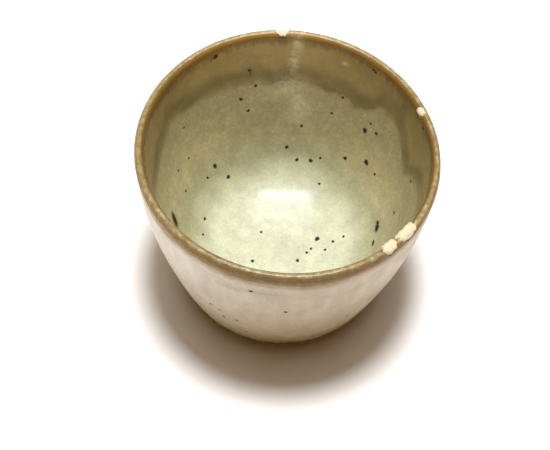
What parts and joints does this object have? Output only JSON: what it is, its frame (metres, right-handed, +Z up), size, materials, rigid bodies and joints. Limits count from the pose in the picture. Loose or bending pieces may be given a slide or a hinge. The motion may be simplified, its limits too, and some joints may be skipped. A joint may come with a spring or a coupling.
{
  "type": "soba cup",
  "caption": "Wheel-thrown stoneware soba cup: a flaring wall on a flat trimmed foot ring, with a rounded iron-slipped lip and a glazed well that holds dipping sauce or tea.",
  "frame": {"origin": "centre of the foot ring, on the table that the cup stands on", "axes": "+Z up through the mouth along the wheel's axis, +X towards the cup's right as pictured, +Y away from the picture's camera"},
  "size_m": [0.0824, 0.083, 0.0595],
  "materials": {
    "clay": "bare fired stoneware, matt and slightly gritty",
    "green_glaze": "glossy translucent ash glaze with iron spots",
    "milky_glaze": "glossy milky glaze with faint throwing lines and iron spots",
    "iron_slip": "glossy brown iron slip, thin on the lip's crest"
  },
  "bodies": {
    "root": {"clay_body": "clay", "inside_glaze": "green_glaze", "outside_glaze": "milky_glaze", "lip_iron_slip": "iron_slip", "foot_hollow_glaze": "milky_glaze"}
  },
  "joints": []
}
